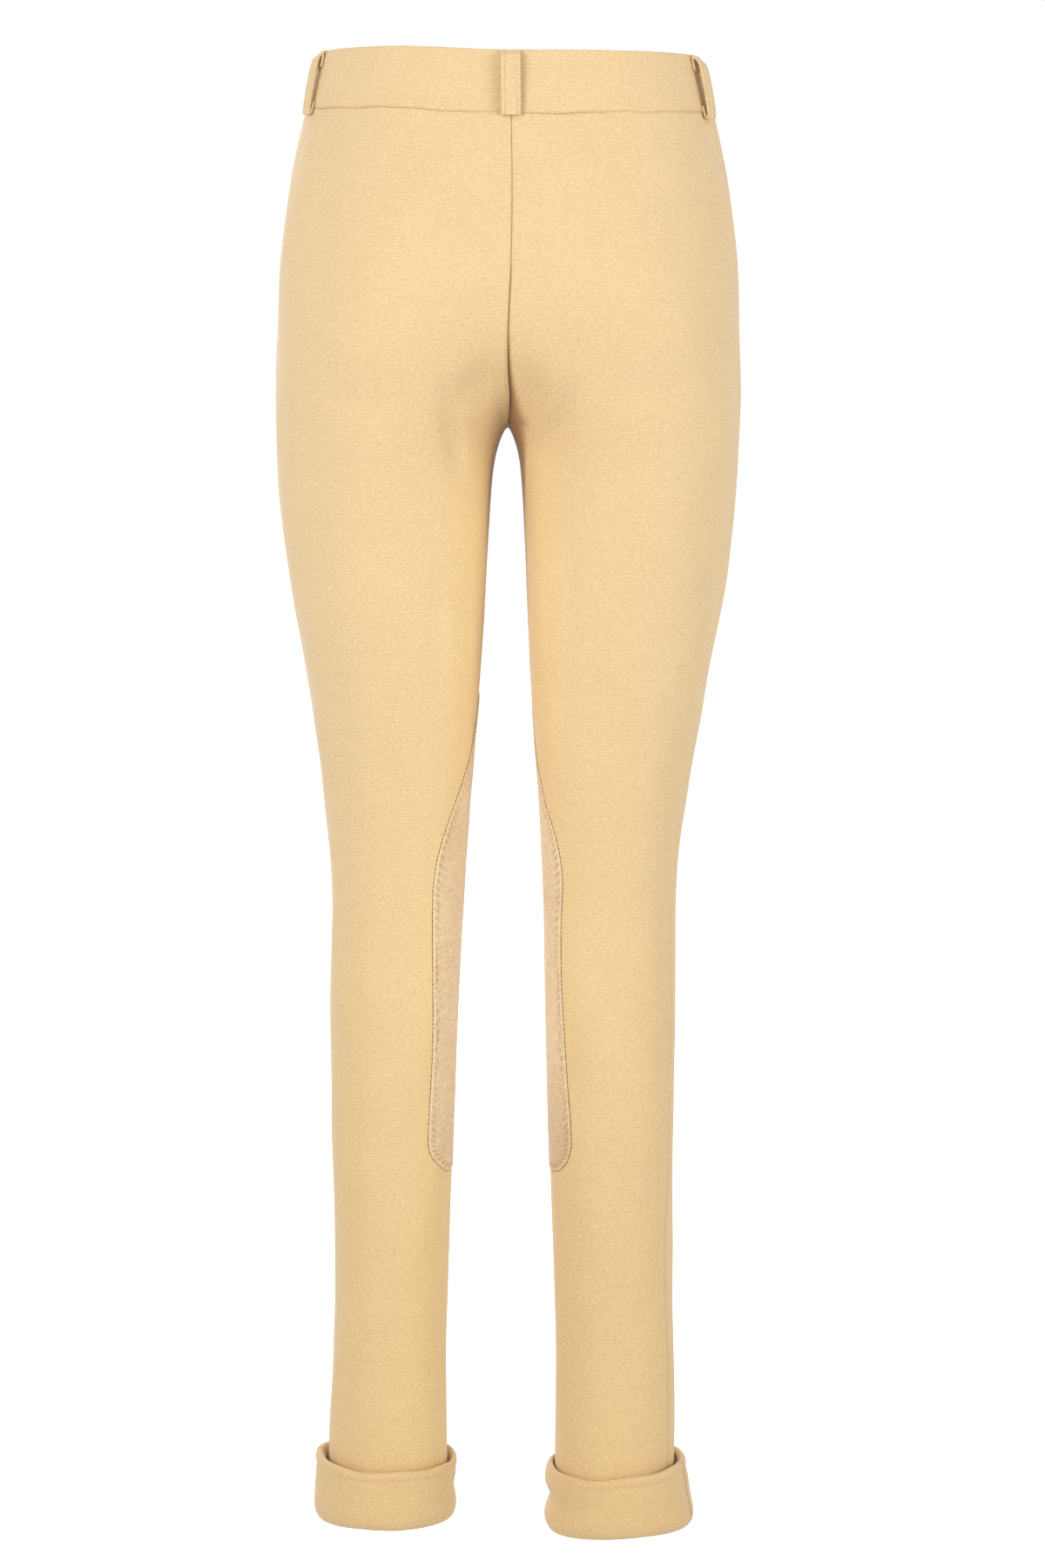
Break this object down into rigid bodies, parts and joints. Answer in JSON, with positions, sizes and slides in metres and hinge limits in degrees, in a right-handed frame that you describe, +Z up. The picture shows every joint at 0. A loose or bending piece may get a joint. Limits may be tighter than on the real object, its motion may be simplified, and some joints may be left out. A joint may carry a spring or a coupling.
{
  "type": "jodhpurs",
  "caption": "Full-length riding trousers, filled out as worn: waistband with belt loops, slim legs, turn-up cuffs, and suede patches over the inner knees.",
  "frame": {"origin": "middle of the waistband's ring, half-way up the band, where the wearer's waist holds the garment up", "axes": "+Z up towards the waist's opening, -Y towards the garment's front, +X towards the wearer's left"},
  "size_m": [0.3122, 0.2198, 1.0111],
  "materials": {
    "knit": "matt ribbed cotton knit, pale canary, finely mottled",
    "suede": "matt suede with a short nap, pale tan"
  },
  "bodies": {
    "root": {"waistband": "knit", "back_left": "knit", "back_right": "knit", "front_left": "knit", "front_right": "knit", "knee_patch_left": "suede", "knee_patch_right": "suede", "cuff_left": "knit", "cuff_right": "knit", "belt_loop_back": "knit", "belt_loop_side_left": "knit", "belt_loop_side_right": "knit", "belt_loop_front_left": "knit", "belt_loop_front_right": "knit"}
  },
  "joints": []
}
